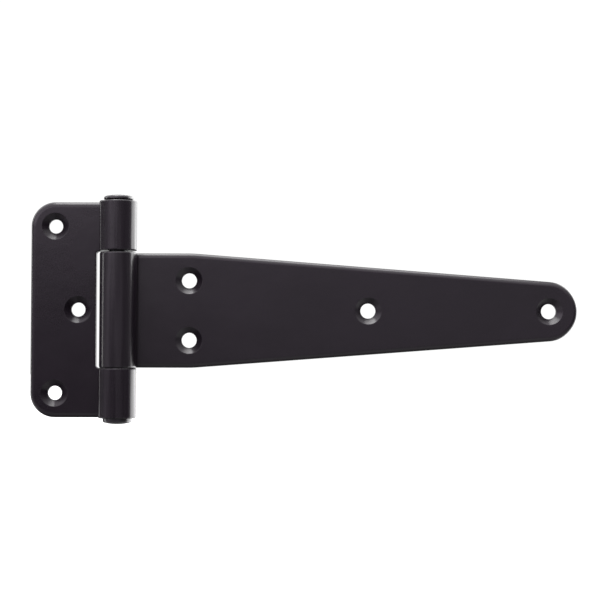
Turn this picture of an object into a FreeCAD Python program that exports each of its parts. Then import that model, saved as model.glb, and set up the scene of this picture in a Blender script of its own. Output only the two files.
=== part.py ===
import FreeCAD, Part
import math
import os
import Sketcher

# Tee hinge: a rectangular frame leaf and a long tapered strap leaf, each with
# its edge rolled round one riveted pin.
#
# Frame of reference (mm): the plates' backs and the back of the barrel lie in
# the plane Y = 0. The origin is in that plane, straight behind the pin axis, at
# the middle of the barrel. +Z up along the pin, +X along the strap to its tip,
# -Y the countersunk front. Each body is drawn about the pin axis, and its
# Placement moves it into this frame.

doc = FreeCAD.newDocument("tee_hinge")

# ---------------------------------------------------------------- dimensions
ROWS = [
    # barrel and pin
    ("barrel_radius", 6.0, "outside of the rolled knuckles"),
    ("bore_radius", 3.0, "inside of the rolled knuckles"),
    ("pin_radius", 2.95, "shank, 0.05 clear in the bores"),
    ("seam_gap", 0.25, "end of the roll to the level of the plate's front"),
    ("roll_flat", 1.74, "frame leaf: straight run between barrel arc and shoulder"),
    ("roll_shoulder", 1.95, "frame leaf: turn beside the straight"),
    ("roll_side", 5.95, "frame leaf: pin axis to the side of the roll"),
    ("roll_end", 1.62, "frame leaf: plate's front to the inner corner of the cut end"),
    # frame leaf
    ("leaf_width", 29.0, "pin axis to the outer edge"),
    ("leaf_height", 70.5, "along the pin"),
    ("leaf_corner", 8.0, "outer corner radius"),
    ("notch_edge", 7.5, "pin axis to the edge of the notch"),
    ("notch_height", 38.0, "room for the strap knuckle"),
    ("notch_corner", 0.9, "inner corner radius of the notch"),
    ("leaf_screw_x", 21.0, "pin axis to the outer pair of holes"),
    ("leaf_screw_pitch", 54.5, "between the outer pair of holes"),
    ("leaf_middle_x", 13.5, "pin axis to the middle hole"),
    # strap leaf
    ("strap_reach", 150.0, "pin axis to the tip"),
    ("strap_root", 37.5, "width at the barrel"),
    ("strap_drop", 0.2, "strap sits below the barrel's middle"),
    ("taper_start", 22.5, "pin axis to the start of the taper"),
    ("taper_blend", 40.0, "radius that blends the taper in"),
    ("tip_radius", 9.8, "round end"),
    ("strap_root_x", 22.8, "pin axis to the root pair of holes"),
    ("strap_root_pitch", 19.5, "between the root pair of holes"),
    ("strap_middle_x", 81.35, "pin axis to the middle hole"),
    ("strap_tip_x", 140.6, "pin axis to the tip hole"),
    # screw holes
    ("leaf_bore", 4.6, "through hole diameter, frame leaf"),
    ("strap_bore", 4.95, "through hole diameter, strap leaf"),
    ("sink_diameter", 8.8, "countersink diameter at the face"),
    ("sink_angle", 100.0, "countersink included angle"),
    # edges
    ("leaf_front_edge", 1.8, "rounding of the frame leaf's front edges"),
    ("strap_front_edge", 1.6, "rounding of the strap's front edges"),
    ("back_edge", 0.5, "rounding of the back edges and barrel rims"),
    ("notch_round", 0.45, "rounding round the notch"),
    # pin heads
    ("top_head_radius", 4.75, "peened head"),
    ("top_head_side", 0.85, "straight side of the peened head"),
    ("top_head_corner", 0.7, "rounding of the peened head"),
    ("top_head_height", 2.05, "peened head over the knuckle"),
    ("top_head_under", 0.55, "bevel under the peened head"),
    ("foot_head_radius", 4.7, "formed head"),
    ("foot_head_side", 0.8, "straight side of the formed head"),
    ("foot_head_corner", 0.6, "rounding of the formed head"),
    ("foot_head_height", 2.0, "formed head under the knuckle"),
]
dims = {alias: value for alias, value, note in ROWS}

sheet = doc.addObject("Spreadsheet::Sheet", "dims")
for row, (alias, value, note) in enumerate(ROWS, start=1):
    sheet.set("A%d" % row, alias)
    sheet.set("B%d" % row, repr(value))
    sheet.setAlias("B%d" % row, alias)
    sheet.set("C%d" % row, note)
doc.recompute()

BARREL = dims["barrel_radius"]    # plates' backs, seen from the pin axis
BORE = dims["bore_radius"]        # plates' fronts, seen from the pin axis
HALF_LEAF = dims["leaf_height"] / 2
HALF_ROOT = dims["strap_root"] / 2

# loose sizes of the cutting sketches, well clear of the metal
OVERRUN = 10.0           # outline carried past the pin axis
MARGIN = 20.0            # trimming box beyond the outline
STRAP_BOX_LEFT = -25.0
CUT_DEPTH = 60
EDGE_SPOT = 12           # distance from the pin axis where the plates' edges are picked

# Sketcher's numbers for points of an element, and for the sketch's own axes
START, END, CENTRE = 1, 2, 3
ORIGIN = (-1, START)
X_AXIS, Y_AXIS = -1, -2


# ------------------------------------------------------------ sketch helpers
def sketch_on(body, role, name):
    """New sketch on the body's origin plane with the given role."""
    plane = next(part for part in body.Origin.OriginFeatures if part.Role == role)
    sketch = body.newObject("Sketcher::SketchObject", name)
    sketch.AttachmentSupport = [(plane, "")]
    sketch.MapMode = "FlatFace"
    return sketch


def constrain(sketch, *rules):
    sketch.addConstraint([Sketcher.Constraint(*rule) for rule in rules])


def bind(sketch, kind, parts, name, formula, value):
    """Add a driving dimension and bind it to the spreadsheet."""
    index = sketch.addConstraint(Sketcher.Constraint(kind, *parts, value))
    sketch.renameConstraint(index, name)
    sketch.setExpression("Constraints." + name, formula)


def size(sketch, kind, parts, name, alias, half=False):
    """Driving dimension equal to one spreadsheet value, or to half of it."""
    if half:
        bind(sketch, kind, parts, name, "dims.%s / 2" % alias, dims[alias] / 2)
    else:
        bind(sketch, kind, parts, name, "dims." + alias, dims[alias])


def from_origin(sketch, kind, side, point, name, alias, half=False):
    """Distance of a point from the origin; side is its sign along the axis."""
    parts = ORIGIN + point if side > 0 else point + ORIGIN
    size(sketch, kind, parts, name, alias, half)


def line(sketch, first, last):
    segment = Part.LineSegment(FreeCAD.Vector(*first, 0), FreeCAD.Vector(*last, 0))
    return sketch.addGeometry(segment, False)


def flat_circle(centre, radius):
    return Part.Circle(FreeCAD.Vector(*centre, 0), FreeCAD.Vector(0, 0, 1), radius)


def arc(sketch, centre, radius, first, last):
    curve = Part.ArcOfCircle(flat_circle(centre, radius), first, last)
    return sketch.addGeometry(curve, False)


def polar(centre, radius, angle):
    return (centre[0] + radius * math.cos(angle), centre[1] + radius * math.sin(angle))


# ----------------------------------------------------------- feature helpers
def new_body(name):
    body = doc.addObject("PartDesign::Body", name)
    body.Label = name
    return body


def edges_near(feature, points, tolerance=0.02):
    """Names of the edges that pass through the given points."""
    names = []
    for point in points:
        probe = Part.Vertex(FreeCAD.Vector(*point))
        found = [
            "Edge%d" % number
            for number, edge in enumerate(feature.Shape.Edges, start=1)
            if edge.distToShape(probe)[0] < tolerance
        ]
        if not found:
            raise RuntimeError("%s has no edge at %s" % (feature.Name, point))
        names += [name for name in found if name not in names]
    return names


def round_over(body, name, points, alias):
    base = body.Tip
    fillet = body.newObject("PartDesign::Fillet", name)
    fillet.Base = (base, edges_near(base, points))
    fillet.setExpression("Radius", "dims." + alias)
    body.Tip = fillet
    doc.recompute()


def pad_section(body, sketch, name, height):
    pad = body.newObject("PartDesign::Pad", name)
    pad.Profile = sketch
    pad.Midplane = True
    pad.setExpression("Length", "dims." + height)
    body.Tip = pad
    doc.recompute()


def trim_to_outline(body, sketch, name, left, right, half_height):
    """Box the outline in, and cut away all that lies between the two."""
    bottom = line(sketch, (left, -half_height), (right, -half_height))
    right_edge = line(sketch, (right, -half_height), (right, half_height))
    top = line(sketch, (right, half_height), (left, half_height))
    left_edge = line(sketch, (left, half_height), (left, -half_height))
    constrain(
        sketch,
        ("Coincident", bottom, END, right_edge, START),
        ("Coincident", right_edge, END, top, START),
        ("Coincident", top, END, left_edge, START),
        ("Coincident", left_edge, END, bottom, START),
        ("Horizontal", bottom),
        ("Horizontal", top),
        ("Vertical", right_edge),
        ("Vertical", left_edge),
        ("DistanceX", *ORIGIN, bottom, START, left),
        ("DistanceX", *ORIGIN, bottom, END, right),
        ("DistanceY", *ORIGIN, bottom, START, -half_height),
        ("DistanceY", *ORIGIN, top, START, half_height),
    )
    doc.recompute()
    before = body.Tip.Shape.Volume
    pocket = body.newObject("PartDesign::Pocket", name)
    pocket.Profile = sketch
    pocket.Midplane = True
    pocket.Type = "Length"
    pocket.Length = CUT_DEPTH
    body.Tip = pocket
    doc.recompute()
    if not pocket.Shape.Volume < before - 1:
        raise RuntimeError(name + " cut nothing")


def screw_holes(body, name, bore, side, places):
    """Countersunk holes opened from the plate's front face. side is the sign of
    X; places holds (X alias, pitch alias, sign of Z), with no pitch on the
    centre line."""
    sketch = sketch_on(body, "XZ_Plane", name + "_sketch")
    sketch.AttachmentOffset = FreeCAD.Placement(
        FreeCAD.Vector(0, 0, -BORE), FreeCAD.Rotation())
    sketch.setExpression("AttachmentOffset.Base.z", "-dims.bore_radius")
    for number, (across, pitch, up) in enumerate(places):
        z = up * dims[pitch] / 2 if pitch else 0
        circle = sketch.addGeometry(
            flat_circle((side * dims[across], z), dims[bore] / 2), False)
        middle = (circle, CENTRE)
        size(sketch, "Diameter", (circle,), "bore%d" % number, bore)
        from_origin(sketch, "DistanceX", side, middle, "across%d" % number, across)
        if pitch:
            from_origin(sketch, "DistanceY", up, middle, "up%d" % number, pitch, half=True)
        else:
            constrain(sketch, ("PointOnObject", *middle, X_AXIS))
    doc.recompute()
    before = body.Tip.Shape.Volume
    hole = body.newObject("PartDesign::Hole", name)
    hole.Profile = sketch
    hole.ThreadType = "None"
    hole.DepthType = "ThroughAll"
    hole.HoleCutType = "Countersink"
    hole.setExpression("Diameter", "dims." + bore)
    hole.setExpression("HoleCutDiameter", "dims.sink_diameter")
    hole.setExpression("HoleCutCountersinkAngle", "dims.sink_angle")
    body.Tip = hole
    doc.recompute()
    # guards against a hole that points away from the plate
    if not hole.Shape.Volume < before - 10:
        hole.Reversed = True
        doc.recompute()
    if not hole.Shape.Volume < before - 10:
        raise RuntimeError(name + " cut nothing")


def set_back(body, drop=None):
    """Move a body drawn about the pin axis into the hinge's frame."""
    body.Placement = FreeCAD.Placement(
        FreeCAD.Vector(0, -BARREL, -dims[drop] if drop else 0), FreeCAD.Rotation())
    body.setExpression("Placement.Base.y", "-dims.barrel_radius")
    if drop:
        body.setExpression("Placement.Base.z", "-dims." + drop)


# ------------------------------------------------ plate and roll, along the pin
def close_section(sketch, side, reach, back, outer, end, inner):
    """Draw the plate's front and edge and join them to the roll. side is the
    sign of X the plate runs to."""
    front = line(sketch, (0, BORE), (side * dims[reach], BORE))
    edge = line(sketch, (side * dims[reach], BORE), (side * dims[reach], BARREL))
    # arcs run anticlockwise, so the side decides which end meets the plate
    at_plate, at_end = (END, START) if side < 0 else (START, END)
    constrain(
        sketch,
        ("Coincident", back, END, outer, at_plate),
        ("Coincident", end, END, inner, at_end),
        ("Coincident", inner, at_plate, front, START),
        ("Coincident", front, END, edge, START),
        ("Coincident", edge, END, back, START),
        ("Coincident", outer, CENTRE, *ORIGIN),
        ("Coincident", inner, CENTRE, *ORIGIN),
        ("Horizontal", back),
        ("Horizontal", front),
        ("Vertical", edge),
        ("PointOnObject", outer, at_plate, Y_AXIS),
        ("PointOnObject", inner, at_plate, Y_AXIS),
    )
    return front, edge


def size_section(sketch, side, reach, outer, end, inner, front, edge):
    """Dimensions that both plates' sections share."""
    size(sketch, "Radius", (outer,), "outside", "barrel_radius")
    size(sketch, "Radius", (inner,), "bore", "bore_radius")
    size(sketch, "DistanceY", (end, START, front, START), "seam", "seam_gap")
    span = (front, START, edge, START) if side > 0 else (edge, START, front, START)
    size(sketch, "DistanceX", span, "reach", reach)


def leaf_section(body):
    """Frame leaf, to -X. Its roll ends in a short straight and a shoulder."""
    sketch = sketch_on(body, "XY_Plane", "leaf_section")
    flat, bend, roll_side = (dims["roll_" + part] for part in ("flat", "shoulder", "side"))
    end_y = BORE - dims["seam_gap"]
    inner_y = BORE - dims["roll_end"]
    inner_angle = math.asin(inner_y / BORE)
    # the straight is a common tangent of the barrel and the shoulder
    bend_x = bend - roll_side
    bend_y = -math.sqrt(flat ** 2 + (BARREL - bend) ** 2 - bend_x ** 2)
    turn = math.atan2(bend_y, bend_x) + math.atan2(flat, BARREL - bend)

    back = line(sketch, (-dims["leaf_width"], BARREL), (0, BARREL))
    outer = arc(sketch, (0, 0), BARREL, turn, math.pi / 2)
    straight = line(sketch, polar((0, 0), BARREL, turn), polar((bend_x, bend_y), bend, turn))
    shoulder = arc(sketch, (bend_x, bend_y), bend, math.pi, turn + 2 * math.pi)
    flank = line(sketch, (-roll_side, bend_y), (-roll_side, end_y))
    end = line(sketch, (-roll_side, end_y), (-BORE * math.cos(inner_angle), inner_y))
    inner = arc(sketch, (0, 0), BORE, -(math.pi + inner_angle), math.pi / 2)
    front, edge = close_section(sketch, -1, "leaf_width", back, outer, end, inner)
    constrain(
        sketch,
        ("Tangent", outer, START, straight, START),
        ("Tangent", straight, END, shoulder, END),
        ("Tangent", shoulder, START, flank, START),
        ("Coincident", flank, END, end, START),
        ("Vertical", flank),
    )
    size(sketch, "Radius", (shoulder,), "shoulder", "roll_shoulder")
    from_origin(sketch, "DistanceX", -1, (flank, END), "side", "roll_side")
    size(sketch, "Distance", (straight,), "straight", "roll_flat")
    size(sketch, "DistanceY", (end, END, front, START), "slope", "roll_end")
    size_section(sketch, -1, "leaf_width", outer, end, inner, front, edge)
    return sketch


def strap_section(body):
    """Strap leaf, to +X. Its roll is cut off along a radius."""
    sketch = sketch_on(body, "XY_Plane", "strap_section")
    end_angle = math.asin((BORE - dims["seam_gap"]) / BARREL)
    back = line(sketch, (dims["strap_reach"], BARREL), (0, BARREL))
    outer = arc(sketch, (0, 0), BARREL, math.pi / 2, 2 * math.pi + end_angle)
    end = line(sketch, polar((0, 0), BARREL, end_angle), polar((0, 0), BORE, end_angle))
    inner = arc(sketch, (0, 0), BORE, math.pi / 2, 2 * math.pi + end_angle)
    front, edge = close_section(sketch, 1, "strap_reach", back, outer, end, inner)
    constrain(
        sketch,
        ("Coincident", outer, END, end, START),
        ("PointOnObject", *ORIGIN, end),
    )
    size_section(sketch, 1, "strap_reach", outer, end, inner, front, edge)
    return sketch


# ---------------------------------------------------------------- frame leaf
def leaf_outline(body):
    """Rounded outer corners, and the notch for the strap knuckle."""
    sketch = sketch_on(body, "XZ_Plane", "leaf_blank")
    width, corner = dims["leaf_width"], dims["leaf_corner"]
    notch_x, notch_corner = -dims["notch_edge"], dims["notch_corner"]
    half_notch = dims["notch_height"] / 2
    corner_x, corner_z = corner - width, HALF_LEAF - corner
    turn_x, turn_z = notch_x + notch_corner, half_notch - notch_corner
    quarter, half, three = math.pi / 2, math.pi, 3 * math.pi / 2

    top = line(sketch, (OVERRUN, HALF_LEAF), (corner_x, HALF_LEAF))
    top_corner = arc(sketch, (corner_x, corner_z), corner, quarter, half)
    outer = line(sketch, (-width, corner_z), (-width, -corner_z))
    low_corner = arc(sketch, (corner_x, -corner_z), corner, half, three)
    bottom = line(sketch, (corner_x, -HALF_LEAF), (OVERRUN, -HALF_LEAF))
    low_side = line(sketch, (OVERRUN, -HALF_LEAF), (OVERRUN, -half_notch))
    notch_low = line(sketch, (OVERRUN, -half_notch), (turn_x, -half_notch))
    low_turn = arc(sketch, (turn_x, -turn_z), notch_corner, half, three)
    notch_edge = line(sketch, (notch_x, -turn_z), (notch_x, turn_z))
    top_turn = arc(sketch, (turn_x, turn_z), notch_corner, quarter, half)
    notch_top = line(sketch, (turn_x, half_notch), (OVERRUN, half_notch))
    top_side = line(sketch, (OVERRUN, half_notch), (OVERRUN, HALF_LEAF))
    constrain(
        sketch,
        ("Tangent", top, END, top_corner, START),
        ("Tangent", top_corner, END, outer, START),
        ("Tangent", outer, END, low_corner, START),
        ("Tangent", low_corner, END, bottom, START),
        ("Coincident", bottom, END, low_side, START),
        ("Coincident", low_side, END, notch_low, START),
        ("Tangent", notch_low, END, low_turn, END),
        ("Tangent", low_turn, START, notch_edge, START),
        ("Tangent", notch_edge, END, top_turn, END),
        ("Tangent", top_turn, START, notch_top, START),
        ("Coincident", notch_top, END, top_side, START),
        ("Coincident", top_side, END, top, START),
        *[("Horizontal", item) for item in (top, bottom, notch_low, notch_top)],
        *[("Vertical", item) for item in (outer, low_side, notch_edge, top_side)],
        ("Equal", top_corner, low_corner),
        ("Equal", low_turn, top_turn),
        ("DistanceX", *ORIGIN, top, START, OVERRUN),
        ("DistanceX", *ORIGIN, bottom, END, OVERRUN),
    )
    size(sketch, "Radius", (top_corner,), "corner", "leaf_corner")
    size(sketch, "Radius", (low_turn,), "notch_corner", "notch_corner")
    from_origin(sketch, "DistanceX", -1, (outer, START), "width", "leaf_width")
    from_origin(sketch, "DistanceY", 1, (top, START), "top", "leaf_height", half=True)
    from_origin(sketch, "DistanceY", -1, (bottom, END), "bottom", "leaf_height", half=True)
    from_origin(sketch, "DistanceX", -1, (notch_edge, START), "notch_edge", "notch_edge")
    from_origin(sketch, "DistanceY", 1, (notch_top, END),
                "notch_top", "notch_height", half=True)
    from_origin(sketch, "DistanceY", -1, (notch_low, START),
                "notch_bottom", "notch_height", half=True)
    return sketch


def build_frame_leaf():
    body = new_body("frame_leaf")
    pad_section(body, leaf_section(body), "leaf_rolled", "leaf_height")
    trim_to_outline(body, leaf_outline(body), "leaf_blanked",
                    -dims["leaf_width"] - MARGIN, MARGIN, HALF_LEAF + MARGIN)
    notch_x = -dims["notch_edge"]
    round_over(body, "leaf_front_round", [(-EDGE_SPOT, BORE, HALF_LEAF)], "leaf_front_edge")
    round_over(body, "leaf_back_round", [(-EDGE_SPOT, BARREL, HALF_LEAF)], "back_edge")
    round_over(body, "leaf_notch_round",
               [(notch_x, BORE, 0), (notch_x, BARREL, 0)], "notch_round")
    screw_holes(body, "leaf_screw_holes", "leaf_bore", -1, [
        ("leaf_screw_x", "leaf_screw_pitch", 1),
        ("leaf_screw_x", "leaf_screw_pitch", -1),
        ("leaf_middle_x", None, 0),
    ])
    set_back(body)
    return body


# ---------------------------------------------------------------- strap leaf
def strap_outline(body):
    """Parallel root, blended into a taper that runs tangent to the round tip."""
    sketch = sketch_on(body, "XZ_Plane", "strap_blank")
    start_x, blend, tip_radius = dims["taper_start"], dims["taper_blend"], dims["tip_radius"]
    blend_z = HALF_ROOT - blend
    tip_x = dims["strap_reach"] - tip_radius
    span = math.hypot(tip_x - start_x, blend_z)
    # direction from either centre to its point of tangency on the upper taper
    turn = math.atan2(-blend_z, tip_x - start_x) + math.acos((blend - tip_radius) / span)
    root_end = polar((start_x, blend_z), blend, turn)
    tip_end = polar((tip_x, 0.0), tip_radius, turn)

    top = line(sketch, (-OVERRUN, HALF_ROOT), (start_x, HALF_ROOT))
    top_blend = arc(sketch, (start_x, blend_z), blend, turn, math.pi / 2)
    top_taper = line(sketch, root_end, tip_end)
    tip = arc(sketch, (tip_x, 0.0), tip_radius, -turn, turn)
    low_taper = line(sketch, (tip_end[0], -tip_end[1]), (root_end[0], -root_end[1]))
    low_blend = arc(sketch, (start_x, -blend_z), blend, -math.pi / 2, -turn)
    bottom = line(sketch, (start_x, -HALF_ROOT), (-OVERRUN, -HALF_ROOT))
    left = line(sketch, (-OVERRUN, -HALF_ROOT), (-OVERRUN, HALF_ROOT))
    constrain(
        sketch,
        ("Tangent", top, END, top_blend, END),
        ("Tangent", top_blend, START, top_taper, START),
        ("Tangent", top_taper, END, tip, END),
        ("Tangent", tip, START, low_taper, START),
        ("Tangent", low_taper, END, low_blend, END),
        ("Tangent", low_blend, START, bottom, START),
        ("Coincident", bottom, END, left, START),
        ("Coincident", left, END, top, START),
        ("Horizontal", top),
        ("Horizontal", bottom),
        ("Vertical", left),
        ("Equal", top_blend, low_blend),
        ("PointOnObject", tip, CENTRE, X_AXIS),
        ("DistanceX", *ORIGIN, top, START, -OVERRUN),
    )
    size(sketch, "Radius", (top_blend,), "blend", "taper_blend")
    size(sketch, "Radius", (tip,), "tip", "tip_radius")
    bind(sketch, "DistanceX", (*ORIGIN, tip, CENTRE), "reach",
         "dims.strap_reach - dims.tip_radius", tip_x)
    from_origin(sketch, "DistanceX", 1, (top, END), "taper_top", "taper_start")
    from_origin(sketch, "DistanceX", 1, (bottom, START), "taper_bottom", "taper_start")
    from_origin(sketch, "DistanceY", 1, (top, END), "half_top", "strap_root", half=True)
    from_origin(sketch, "DistanceY", -1, (bottom, START),
                "half_bottom", "strap_root", half=True)
    return sketch


def build_strap_leaf():
    """Modelled on its own centre line, then dropped."""
    body = new_body("strap_leaf")
    pad_section(body, strap_section(body), "strap_rolled", "strap_root")
    trim_to_outline(body, strap_outline(body), "strap_blanked",
                    STRAP_BOX_LEFT, dims["strap_reach"] + MARGIN, HALF_ROOT + MARGIN)
    round_over(body, "strap_front_round", [(EDGE_SPOT, BORE, HALF_ROOT)], "strap_front_edge")
    round_over(body, "strap_back_round", [(EDGE_SPOT, BARREL, HALF_ROOT)], "back_edge")
    screw_holes(body, "strap_screw_holes", "strap_bore", 1, [
        ("strap_root_x", "strap_root_pitch", 1),
        ("strap_root_x", "strap_root_pitch", -1),
        ("strap_middle_x", None, 0),
        ("strap_tip_x", None, 0),
    ])
    set_back(body, "strap_drop")
    return body


# ----------------------------------------------------------------- hinge pin
def head_sizes(head):
    return [dims[head + "_head_" + part] for part in ("radius", "side", "corner", "height")]


def crown(radius, side, corner, height):
    """Crown arc over a head's rounded edge: centre height, radius, and the
    angle at which it runs into the edge rounding."""
    flat, rise = radius - corner, height - side
    dome = (flat * flat + rise * rise - corner * corner) / (2 * (rise - corner))
    return height - dome, dome, math.atan2(side - height + dome, flat)


def pin_profile(body):
    """Half section of the pin, right of its axis."""
    sketch = sketch_on(body, "XZ_Plane", "pin_profile")
    shank_x = dims["pin_radius"]
    top_x, top_side, top_corner, top_height = head_sizes("top")
    foot_x, foot_side, foot_corner, foot_height = head_sizes("foot")
    top_centre, top_dome, top_angle = crown(*head_sizes("top"))
    foot_centre, foot_dome, foot_angle = crown(*head_sizes("foot"))
    seat = HALF_LEAF
    top_z, foot_z = seat + top_side, -seat - foot_side

    axis = line(sketch, (0, -seat - foot_height), (0, seat + top_height))
    top_crown = arc(sketch, (0, seat + top_centre), top_dome, top_angle, math.pi / 2)
    top_round = arc(sketch, (top_x - top_corner, top_z), top_corner, 0, top_angle)
    top_wall = line(sketch, (top_x, top_z), (top_x, seat))
    top_under = line(sketch, (top_x, seat), (shank_x, seat))
    shank = line(sketch, (shank_x, seat), (shank_x, -seat))
    foot_upper = line(sketch, (shank_x, -seat), (foot_x, -seat))
    foot_wall = line(sketch, (foot_x, -seat), (foot_x, foot_z))
    foot_round = arc(sketch, (foot_x - foot_corner, foot_z), foot_corner, -foot_angle, 0)
    foot_crown = arc(sketch, (0, -seat - foot_centre), foot_dome, -math.pi / 2, -foot_angle)
    constrain(
        sketch,
        ("Coincident", axis, END, top_crown, END),
        ("Tangent", top_crown, START, top_round, END),
        ("Tangent", top_round, START, top_wall, START),
        ("Coincident", top_wall, END, top_under, START),
        ("Coincident", top_under, END, shank, START),
        ("Coincident", shank, END, foot_upper, START),
        ("Coincident", foot_upper, END, foot_wall, START),
        ("Tangent", foot_wall, END, foot_round, END),
        ("Tangent", foot_round, START, foot_crown, END),
        ("Coincident", foot_crown, START, axis, START),
        ("PointOnObject", axis, START, Y_AXIS),
        ("PointOnObject", axis, END, Y_AXIS),
        ("PointOnObject", top_crown, CENTRE, Y_AXIS),
        ("PointOnObject", foot_crown, CENTRE, Y_AXIS),
        ("Vertical", top_wall),
        ("Horizontal", top_under),
        ("Vertical", shank),
        ("Horizontal", foot_upper),
        ("Vertical", foot_wall),
    )
    from_origin(sketch, "DistanceX", 1, (shank, START), "shank", "pin_radius")
    from_origin(sketch, "DistanceX", 1, (top_wall, START), "top_head", "top_head_radius")
    from_origin(sketch, "DistanceX", 1, (foot_wall, START), "foot_head", "foot_head_radius")
    from_origin(sketch, "DistanceY", 1, (top_under, START),
                "top_seat", "leaf_height", half=True)
    from_origin(sketch, "DistanceY", -1, (foot_upper, END),
                "foot_seat", "leaf_height", half=True)
    for kind, parts, name, alias in (
        ("DistanceY", (top_wall, END, top_wall, START), "top_side", "top_head_side"),
        ("DistanceY", (foot_wall, END, foot_wall, START), "foot_side", "foot_head_side"),
        ("Radius", (top_round,), "top_corner", "top_head_corner"),
        ("Radius", (foot_round,), "foot_corner", "foot_head_corner"),
        ("DistanceY", (top_under, START, axis, END), "top_crown", "top_head_height"),
        ("DistanceY", (axis, START, foot_upper, END), "foot_crown", "foot_head_height"),
    ):
        size(sketch, kind, parts, name, alias)
    return sketch


def build_hinge_pin():
    body = new_body("hinge_pin")
    sketch = pin_profile(body)
    doc.recompute()
    turned = body.newObject("PartDesign::Revolution", "pin_turned")
    turned.Profile = sketch
    turned.ReferenceAxis = (sketch, ["V_Axis"])
    turned.Angle = 360
    body.Tip = turned
    doc.recompute()
    bevel = body.newObject("PartDesign::Chamfer", "head_underside")
    bevel.Base = (turned, edges_near(turned, [(0, dims["top_head_radius"], HALF_LEAF)]))
    bevel.setExpression("Size", "dims.top_head_under")
    body.Tip = bevel
    doc.recompute()
    set_back(body)
    return body


# -------------------------------------------------------------- check, write
bodies = [build_frame_leaf(), build_strap_leaf(), build_hinge_pin()]
doc.recompute()
for item in doc.Objects:
    if "Invalid" in item.State or "Error" in item.State:
        raise RuntimeError("%s did not compute: %s" % (item.Name, item.State))

os.makedirs("parts", exist_ok=True)
for body in bodies:
    shape = body.Shape
    if shape.isNull() or not shape.isValid() or len(shape.Solids) != 1:
        raise RuntimeError(body.Label + " is not one valid solid")
    shape.exportStep("parts/%s.step" % body.Label)
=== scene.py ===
# A satin black hinge: a frame leaf, a strap leaf and the pin that joins them.
# Metres, +Z up. The pin axis runs along Z at X = 0, Y = AXIS_Y. The camera looks
# along +Y, so the front is -Y and the right is +X.
import math
from functools import reduce

import bpy
from mathutils import Matrix, Vector

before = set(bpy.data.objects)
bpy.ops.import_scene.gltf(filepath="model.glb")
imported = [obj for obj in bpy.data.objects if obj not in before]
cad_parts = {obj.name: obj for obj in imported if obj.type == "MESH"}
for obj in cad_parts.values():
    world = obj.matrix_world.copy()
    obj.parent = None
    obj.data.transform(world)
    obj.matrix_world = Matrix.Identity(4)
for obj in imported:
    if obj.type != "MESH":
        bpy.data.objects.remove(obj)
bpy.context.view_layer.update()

MM = 0.001

AXIS_Y = -6.0 * MM
BARREL_RADIUS = 6.0 * MM

FLOOR_Z = -0.15
FLOOR_RADIUS = 8.0
FLOOR_RINGS = 24
FLOOR_SPOKES = 96

WHITE = (1.0, 1.0, 1.0, 1.0)


# ----------------------------------------------------------------- helpers
class Tree:
    """Short hand for building a node tree. Any value may be a number or a socket."""

    def __init__(self, tree):
        self.tree = tree
        tree.nodes.clear()

    def put(self, socket, value):
        if isinstance(value, bpy.types.NodeSocket):
            self.tree.links.new(value, socket)
        else:
            socket.default_value = value

    def node(self, kind, *values, **props):
        """A new node, with values put into its first inputs in order."""
        node = self.tree.nodes.new(kind)
        for key, value in props.items():
            setattr(node, key, value)
        for index, value in enumerate(values):
            self.put(node.inputs[index], value)
        return node

    def first(self, kind, *values, **props):
        """The first output of a new node."""
        return self.node(kind, *values, **props).outputs[0]

    def fill(self, node, inputs):
        """Put values into a node's inputs by name or index."""
        for key, value in inputs.items():
            self.put(node.inputs[key], value)

    def math(self, operation, *values):
        return self.first("ShaderNodeMath", *values, operation=operation)

    def total(self, *terms):
        return reduce(lambda a, b: self.math("ADD", a, b), terms)

    def product(self, *terms, gain=None):
        """The terms multiplied together, and last by the gain if there is one."""
        if gain is not None:
            terms += (gain,)
        return reduce(lambda a, b: self.math("MULTIPLY", a, b), terms)

    def step(self, value, over, to=(0.0, 1.0)):
        """Smooth step: to[0] where value is over[0], to[1] where it is over[1]."""
        return self.first("ShaderNodeMapRange", value, *over, *to,
                          interpolation_type="SMOOTHSTEP")

    def noise(self, vector, scale, detail, rough=0.5):
        node = self.node("ShaderNodeTexNoise")
        self.fill(node, {"Vector": vector, "Scale": scale, "Detail": detail,
                         "Roughness": rough})
        return node.outputs["Fac"]

    def mix(self, fac, a, b):
        node = self.node("ShaderNodeMix", data_type="RGBA")
        self.fill(node, {0: fac, 6: a, 7: b})
        return node.outputs[2]

    def mix_shader(self, fac, a, b):
        return self.first("ShaderNodeMixShader", fac, a, b)

    def bevel(self, radius):
        """The normal as rounded over edges."""
        return self.first("ShaderNodeBevel", radius, samples=6)

    def coordinate(self, kind):
        return self.node("ShaderNodeTexCoord").outputs[kind]

    def geometry(self, kind):
        return self.node("ShaderNodeNewGeometry").outputs[kind]

    def camera_ray(self):
        return self.node("ShaderNodeLightPath").outputs["Is Camera Ray"]

    def xyz(self, vector):
        return self.node("ShaderNodeSeparateXYZ", vector).outputs


def new_material(name):
    material = bpy.data.materials.new(name)
    material.use_nodes = True
    return material, Tree(material.node_tree)


def add_object(name, data, matrix=Matrix.Identity(4)):
    obj = bpy.data.objects.new(name, data)
    obj.matrix_world = matrix
    bpy.context.scene.collection.objects.link(obj)
    return obj


def pose(place, x_axis, y_axis, z_axis):
    """Matrix of an object at place with the given axes."""
    turn = Matrix((x_axis, y_axis, z_axis)).transposed()
    return Matrix.Translation(place) @ turn.to_4x4()


# ------------------------------------------------------------- the coating
def shade(colour, gain, lift=0.0):
    return tuple(c * gain + lift for c in colour) + (1.0,)


def edge_wear(tree, cloud):
    """How far the film thins over edges, uneven with the cloud."""
    turn = tree.node("ShaderNodeVectorMath", tree.bevel(radius=0.45 * MM),
                     tree.geometry("Normal"), operation="DOT_PRODUCT")
    edge = tree.math("SUBTRACT", 1.0, turn.outputs["Value"])
    return tree.product(tree.step(edge, over=(0.02, 0.30)),
                        tree.step(cloud, over=(0.35, 0.65), to=(0.25, 1.0)))


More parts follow.
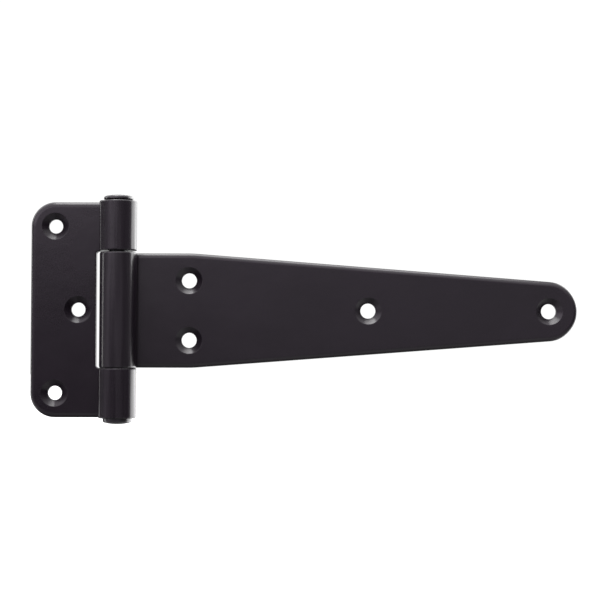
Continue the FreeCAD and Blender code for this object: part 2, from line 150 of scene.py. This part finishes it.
def film_colour(tree, colour, cloud, worn, grain):
    base = tree.mix(tree.step(cloud, over=(0.3, 0.7)),
                    shade(colour, gain=0.88), shade(colour, gain=1.14))
    base = tree.mix(tree.product(tree.step(grain, over=(0.35, 0.75)), gain=0.25),
                    base, shade(colour, gain=1.3, lift=0.0005))
    edge_grey = (0.034, 0.030, 0.034, 1.0)
    return tree.mix(tree.product(worn, gain=0.30), base, edge_grey)


def barrel_lines(tree, place):
    """Coordinates that vary round the pin axis but hardly along it, and a mask
    that is 1 on the barrel's outer face."""
    x, y, z = tree.xyz(place)
    from_axis = tree.math("SUBTRACT", y, AXIS_Y)
    angle = tree.math("ARCTAN2", x, tree.product(from_axis, gain=-1.0))
    strip = tree.first("ShaderNodeCombineXYZ", tree.product(angle, gain=BARREL_RADIUS),
                       tree.product(z, gain=0.035))
    radius = tree.math("SQRT", tree.total(tree.product(x, x),
                                          tree.product(from_axis, from_axis)))
    on_barrel = tree.product(tree.step(radius, over=(5.5 * MM, 5.8 * MM)),
                             tree.step(y, over=(-3.4 * MM, -4.2 * MM)),
                             tree.step(radius, over=(7.2 * MM, 6.4 * MM)))
    return strip, on_barrel


def satin_black(name, colour, roughness, ior):
    """Satin black stoved coat over formed steel: fine orange peel, faint lines
    left by the roll along the barrel, and a thinner film over the edges."""
    material, tree = new_material(name)
    noise, product = tree.noise, tree.product
    place = tree.coordinate("Object")

    # film thickness varies over a few centimetres, pigment over a millimetre
    cloud = noise(place, scale=38.0, detail=3.0, rough=0.55)
    grain = noise(place, scale=1500.0, detail=2.0, rough=0.6)
    worn = edge_wear(tree, cloud)

    # roughness swings in patches about its mean; thin film is smoother
    swing = 0.06
    patch = noise(place, scale=90.0, detail=4.0, rough=0.6)
    rough = tree.total(roughness - swing / 2, product(patch, gain=swing))
    rough = tree.math("SUBTRACT", rough, product(worn, gain=0.04))

    # relief in mm: orange peel, fine tooth, soft dimples, lines on the barrel
    strip, on_barrel = barrel_lines(tree, place)
    peel = noise(place, scale=900.0, detail=2.0)
    tooth = noise(place, scale=5200.0, detail=2.0, rough=0.6)
    wave = noise(place, scale=120.0, detail=2.0)
    lines = noise(strip, scale=520.0, detail=1.5)
    height = tree.total(product(peel, gain=0.006), product(tooth, gain=0.0015),
                        product(wave, gain=0.04), product(lines, on_barrel, gain=0.06))
    bump = tree.node("ShaderNodeBump")
    tree.fill(bump, {"Strength": 0.9, "Distance": 1.0 * MM, "Height": height,
                     "Normal": tree.bevel(radius=0.15 * MM)})

    # finer lines show as faint lighter and darker streaks in the gloss
    streaks = noise(strip, scale=900.0, detail=1.0)
    gloss = product(tree.step(streaks, over=(0.3, 0.7), to=(-0.10, 0.10)), on_barrel)
    mean_gloss = 0.5

    coat = tree.node("ShaderNodeBsdfPrincipled")
    tree.fill(coat, {
        "Base Color": film_colour(tree, colour, cloud, worn, grain),
        "Roughness": rough,
        "IOR": ior,
        "Metallic": 0.0,
        "Specular IOR Level": tree.total(gloss, mean_gloss),
        "Normal": bump.outputs[0],
    })
    tree.node("ShaderNodeOutputMaterial", coat.outputs[0])
    return material


# piece, material, slot, colour, roughness, IOR
COATS = (
    ("frame_leaf", "satin_black_frame", "black_plate", (0.0112, 0.0081, 0.0119), 0.21, 1.42),
    # the strap's colour is the same satin black made a shade darker than the frame's: painted
    # shade that cancels the overhead softbox's stronger light on the strap
    ("strap_leaf", "satin_black_strap", "black_plate", (0.0096, 0.0070, 0.0102), 0.22, 1.48),
    ("hinge_pin", "satin_black_pin", "black_pin", (0.0108, 0.0088, 0.0122), 0.26, 1.55),
)
for piece_name, coat_name, slot, colour, roughness, ior in COATS:
    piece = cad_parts[piece_name]
    piece.data.materials.clear()
    piece.data.materials.append(satin_black(coat_name, colour, roughness, ior))
    for polygon in piece.data.polygons:
        polygon.material_index = 0


# ------------------------------------------------------------------- floor
def floor_disc():
    """Flat disc facing up, its rings closer together towards the centre."""
    verts = [(0.0, 0.0, FLOOR_Z)]
    for ring in range(1, FLOOR_RINGS + 1):
        radius = FLOOR_RADIUS * (ring / FLOOR_RINGS) ** 2
        for k in range(FLOOR_SPOKES):
            angle = 2 * math.pi * k / FLOOR_SPOKES
            verts.append((radius * math.cos(angle), radius * math.sin(angle), FLOOR_Z))
    faces = [(0, 1 + k, 1 + (k + 1) % FLOOR_SPOKES) for k in range(FLOOR_SPOKES)]
    for ring in range(1, FLOOR_RINGS):
        start = 1 + (ring - 1) * FLOOR_SPOKES
        for k in range(FLOOR_SPOKES):
            a = start + k
            b = start + (k + 1) % FLOOR_SPOKES
            faces.append((a, a + FLOOR_SPOKES, b + FLOOR_SPOKES, b))
    mesh = bpy.data.meshes.new("floor")
    mesh.from_pydata(verts, [], faces)
    mesh.update()
    return add_object("floor", mesh)


def pale_floor():
    """Bright and pale to the camera, dim to the hinge, clear from underneath."""
    material, tree = new_material("pale_floor")
    camera_ray = tree.camera_ray()
    speck = tree.noise(tree.coordinate("Object"), scale=30.0, detail=4.0)
    pale = tree.mix(speck, (0.50, 0.50, 0.505, 1), (0.53, 0.53, 0.535, 1))
    glow_strength = 0.78
    bright = tree.first("ShaderNodeAddShader",
                        tree.first("ShaderNodeBsdfDiffuse", pale),
                        tree.first("ShaderNodeEmission", WHITE, glow_strength))
    dim_grey = (0.10, 0.10, 0.10, 1)
    dim = tree.first("ShaderNodeBsdfDiffuse", dim_grey)
    above = tree.mix_shader(camera_ray, dim, bright)
    from_under = tree.product(tree.geometry("Backfacing"), camera_ray)
    clear = tree.first("ShaderNodeBsdfTransparent")
    tree.node("ShaderNodeOutputMaterial", tree.mix_shader(from_under, above, clear))
    return material


floor = floor_disc()
floor.data.materials.append(pale_floor())
floor.visible_glossy = False     # the coat mirrors the room, not the floor


# ------------------------------------------------------------------- light
def room_levels(tree):
    """Strengths of the room's neutral and tinted light, by direction x, y, z."""
    step, product = tree.step, tree.product
    x, y, z = tree.xyz(tree.coordinate("Generated"))

    # white sweep behind: it starts a little behind the hinge's plane on the right,
    # and on the left only a narrow slot of it shows past the dark side
    sweep = step(z, over=(-0.80, -0.45))
    behind_right = product(step(x, over=(0.25, 0.55)), step(y, over=(-0.01, 0.12)), sweep,
                           step(z, over=(0.35, 0.75), to=(5.8, 2.2)))
    behind_left = product(step(y, over=(0.16, 0.22)), step(y, over=(0.42, 0.34)),
                          step(x, over=(0.0, -0.3)), sweep, gain=4.8)
    behind_up = product(step(y, over=(0.05, 0.30)), step(z, over=(0.10, 0.35)), gain=0.9)
    behind_centre = product(step(y, over=(0.80, 0.94)),
                            step(z, over=(-0.45, 0.35), to=(0.45, 1.0)))
    right_below = product(step(x, over=(0.20, 0.50)), step(y, over=(-0.45, -0.10)),
                          step(z, over=(-0.15, -0.40)), gain=0.5)
    # the overhead panel's spill on the ceiling in front
    ceiling = product(step(z, over=(0.05, 0.95)), step(y, over=(0.30, 0.0)), gain=1.15)
    below = product(step(z, over=(-0.10, -0.35)), gain=0.20)
    front_low = product(step(z, over=(-0.20, -0.45)), step(y, over=(-0.30, -0.55)), gain=0.28)
    everywhere = 0.05
    neutral = tree.total(behind_right, behind_left, behind_up, right_below, ceiling, below,
                         front_low, behind_centre, everywhere)

    # front: on the right dim and lighter upwards, on the left lit only above
    # the horizon
    front_right = product(step(z, over=(-0.35, 0.45), to=(0.14, 0.80)),
                          step(x, over=(0.15, 0.75), to=(1.0, 0.35)))
    front_left = product(step(z, over=(0.045, 0.15), to=(0.0, 2.5)),
                         step(z, over=(0.5, 0.2), to=(0.4, 1.0)))
    side = step(x, over=(-0.13, 0.0))
    front = product(step(y, over=(0.05, -0.15)), tree.total(
        product(front_right, side),
        product(front_left, tree.math("SUBTRACT", 1.0, side),
                step(x, over=(-0.98, -0.80), to=(0.2, 1.0)))))
    left_patch = product(step(x, over=(-0.35, -0.70)), step(x, over=(-0.95, -0.80)),
                         step(y, over=(0.0, -0.2)), gain=0.20)
    left_wall = product(step(x, over=(-0.75, -0.93)), step(y, over=(0.10, -0.02)),
                        step(y, over=(0.08, -0.30), to=(0.15, 0.65)),
                        step(z, over=(0.14, 0.0)), step(z, over=(-0.8, -0.3)))
    right_wall = product(step(x, over=(0.50, 0.80)), step(y, over=(-0.30, -0.05)),
                         step(z, over=(0.25, 0.0)), gain=0.4)
    return neutral, tree.total(front, left_patch, left_wall, right_wall)


def studio_world():
    """A white surround as the camera sees it; for everything else a dim room
    with large soft panels."""
    world = bpy.data.worlds.new("studio")
    bpy.context.scene.world = world
    world.use_nodes = True
    tree = Tree(world.node_tree)
    neutral, tinted = room_levels(tree)
    tint = (1.0, 0.90, 1.03, 1)
    room = tree.first("ShaderNodeAddShader",
                      tree.first("ShaderNodeBackground", WHITE, neutral),
                      tree.first("ShaderNodeBackground", tint, tinted))
    surround_strength = 1.05
    surround = tree.first("ShaderNodeBackground", WHITE, surround_strength)
    tree.node("ShaderNodeOutputWorld", tree.mix_shader(tree.camera_ray(), room, surround))


def softbox(name, place, aim, width, depth, spread, watts):
    """Rectangular panel, width roughly along X and depth along Y."""
    light = bpy.data.lights.new(name, "AREA")
    light.shape = "RECTANGLE"
    light.size = width
    light.size_y = depth
    light.spread = math.radians(spread)
    light.energy = watts
    axis = (Vector(place) - Vector(aim)).normalized()
    across = Vector((0.0, 1.0, 0.0)).cross(axis).normalized()
    panel = add_object(name, light, pose(place, across, axis.cross(across), axis))
    panel.visible_camera = False


studio_world()
# gridded, above the hinge and turned towards the right
softbox("overhead", place=(0.068, 0.010, 0.25), aim=(0.173, 0.0, 0.0),
        width=0.27, depth=0.20, spread=105.0, watts=0.43)


# ------------------------------------------------------------------ camera
def add_camera(place, yaw, pitch, roll, lens):
    """Camera looking along +Y, turned by angles in radians; lens in mm."""
    data = bpy.data.cameras.new("camera")
    data.sensor_width = 36.0
    data.lens = lens
    data.clip_start = 0.01
    data.clip_end = 50.0
    forward = Vector((math.sin(yaw) * math.cos(pitch), math.cos(yaw) * math.cos(pitch),
                      math.sin(pitch)))
    level_right = Vector((math.cos(yaw), -math.sin(yaw), 0.0))
    level_up = level_right.cross(forward)
    right = math.cos(roll) * level_right - math.sin(roll) * level_up
    up = math.sin(roll) * level_right + math.cos(roll) * level_up
    return add_object("camera", data, pose(place, right, up, -forward))


scene = bpy.context.scene
scene.camera = add_camera(place=(56.773 * MM, -496.0 * MM, -13.0 * MM),
                          yaw=0.00466, pitch=0.03308, roll=-0.0030, lens=90.594)
scene.view_settings.view_transform = "Standard"
scene.view_settings.look = "None"
